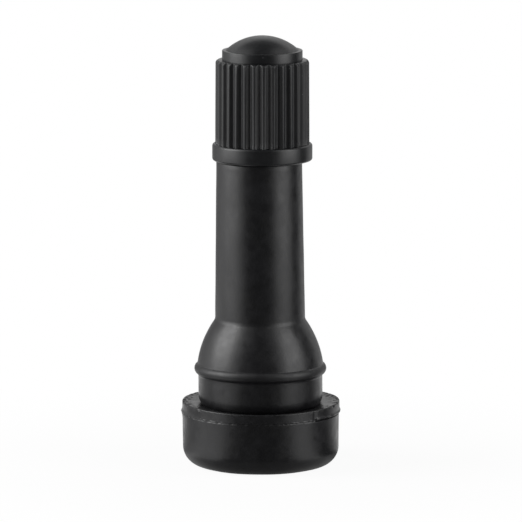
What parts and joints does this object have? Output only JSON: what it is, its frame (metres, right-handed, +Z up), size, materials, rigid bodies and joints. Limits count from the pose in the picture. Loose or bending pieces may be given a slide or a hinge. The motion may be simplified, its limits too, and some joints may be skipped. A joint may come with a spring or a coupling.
{
  "type": "tyre valve",
  "caption": "Snap-in tubeless tyre valve: black rubber body moulded over a brass stem, sprung valve core inside, and a ribbed plastic cap that screws off.",
  "frame": {"origin": "middle of the base's lower face, which the valve stands on", "axes": "+Z up along the valve from the base to the cap; X and Y across it"},
  "size_m": [0.0194, 0.0192, 0.0525],
  "materials": {
    "moulded_rubber": "satin moulded",
    "turned_brass": "turned",
    "cap_plastic": "satin moulded",
    "seal_rubber": "matte moulded",
    "core_brass": "turned",
    "gasket_ptfe": "matte",
    "spring_steel": "drawn wire"
  },
  "bodies": {
    "valve": {"rubber_body": "moulded_rubber", "brass_stem": "turned_brass", "core_plug": "core_brass", "core_barrel": "core_brass", "barrel_gasket": "gasket_ptfe", "core_spring": "spring_steel"},
    "washer": {"cap_seal": "seal_rubber"},
    "cap": {"valve_cap": "cap_plastic"},
    "pin": {"core_pin": "core_brass", "pin_cup": "core_brass", "pin_seal": "seal_rubber"}
  },
  "joints": [
    {"name": "cap_lift", "type": "slide", "parent": "valve", "child": "washer", "axis": [0, 0, 1], "range_m": [0, 0.0119]},
    {"name": "cap_turn", "type": "hinge", "parent": "washer", "child": "cap", "pos_m": [0, 0, 0.0489], "axis": [0, 0, 1], "range_deg": [0, 5400]},
    {"name": "pin_press", "type": "slide", "parent": "valve", "child": "pin", "axis": [0, 0, -1], "range_m": [0, 0.0015], "stiffness_N_per_m": 700, "deforming": ["core_spring"]}
  ],
  "couplings": [
    {"joint": "cap_turn", "follows": "cap_lift", "rad_per_m": 7915.8}
  ]
}
